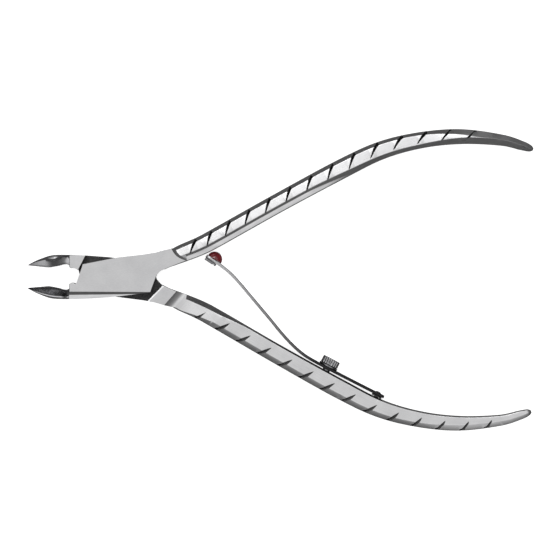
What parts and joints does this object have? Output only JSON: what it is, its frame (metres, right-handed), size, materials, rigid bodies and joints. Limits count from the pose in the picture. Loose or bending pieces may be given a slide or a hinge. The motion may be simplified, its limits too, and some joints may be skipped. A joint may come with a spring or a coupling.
{
  "type": "cuticle nipper",
  "caption": "Hand-held nail and cuticle nipper: two crossed steel levers in a lap joint, with a leaf spring, glide bead and tension screw.",
  "frame": {"origin": "under the middle of the bounding box, on the plane of the joint's rear face", "axes": "+X along the nipper from the jaws to the handles' tails, +Y towards the front lever's handle, +Z from the rear face to the front face, along the jaw pivot"},
  "size_m": [0.1201, 0.0716, 0.006],
  "materials": {
    "satin_steel": "stainless steel, joint faces finely ground, handles polished",
    "spring_steel": "satin spring steel",
    "hardware_steel": "turned and polished steel",
    "knob_steel": "knurled steel",
    "red_plastic": "glossy moulded plastic, dark red"
  },
  "bodies": {
    "rear": {"rear_lever": "satin_steel", "pivot_screw": "hardware_steel", "leaf_spring": "spring_steel", "tension_stud": "hardware_steel", "spring_foot": "spring_steel", "foot_rivet": "hardware_steel"},
    "front": {"front_lever": "satin_steel"},
    "bead": {"glide_bead": "red_plastic", "bead_rivet": "hardware_steel"},
    "washer": {"knob_washer": "knob_steel"},
    "knob": {"tension_knob": "knob_steel"}
  },
  "joints": [
    {"name": "jaw_pivot", "type": "hinge", "parent": "rear", "child": "front", "pos_m": [-0.0393, 0, 0.003], "axis": [0, 0, -1], "range_deg": [0, 14.4], "stiffness_Nm_per_rad": 0.8, "springref_deg": -5.73},
    {"name": "spring_flex", "type": "slide", "parent": "rear", "child": "bead", "axis": [-0.1577, -0.9875, 0], "range_m": [0, 0.00634], "deforming": ["leaf_spring"]},
    {"name": "tension_lift", "type": "slide", "parent": "rear", "child": "washer", "axis": [0.4566, 0.8897, 0], "range_m": [0, 0.0005]},
    {"name": "tension_turn", "type": "hinge", "parent": "washer", "child": "knob", "pos_m": [0.01156, -0.02091, 0.003], "axis": [0.4566, 0.8897, 0], "range_deg": [0, 360.2]}
  ],
  "couplings": [
    {"joint": "spring_flex", "follows": "jaw_pivot", "m_per_rad": 0.025233},
    {"joint": "tension_turn", "follows": "tension_lift", "rad_per_m": 12566}
  ]
}
